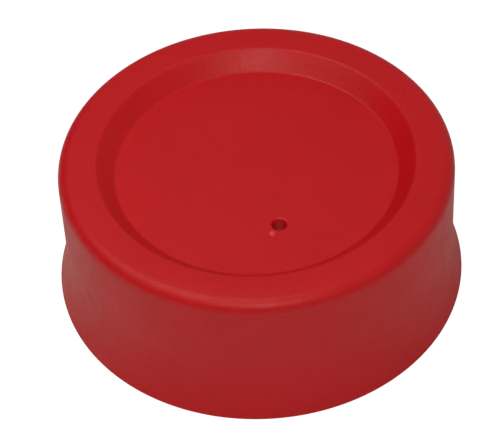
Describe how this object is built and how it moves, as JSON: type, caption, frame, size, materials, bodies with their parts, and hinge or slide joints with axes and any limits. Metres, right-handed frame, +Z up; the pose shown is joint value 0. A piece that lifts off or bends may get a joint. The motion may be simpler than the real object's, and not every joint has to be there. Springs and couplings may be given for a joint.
{
  "type": "filler cap",
  "caption": "Round push-on filler cap for a water filled barrier: flared skirt, dished top with a breather hole, and a ring gasket inside that seals on the filler neck.",
  "frame": {"origin": "centre of the lower rim, on the plane that the cap rests on", "axes": "+Z up the cap's axis, from the open lower rim to the dished top; the neck enters along +Z; the breather hole is towards -Y, a little to +X"},
  "size_m": [0.1054, 0.1053, 0.0397],
  "materials": {
    "red_polyethylene": "fine moulded satin",
    "black_rubber": "matte"
  },
  "bodies": {
    "root": {"cap_shell": "red_polyethylene", "sealing_gasket": "black_rubber"}
  },
  "joints": []
}
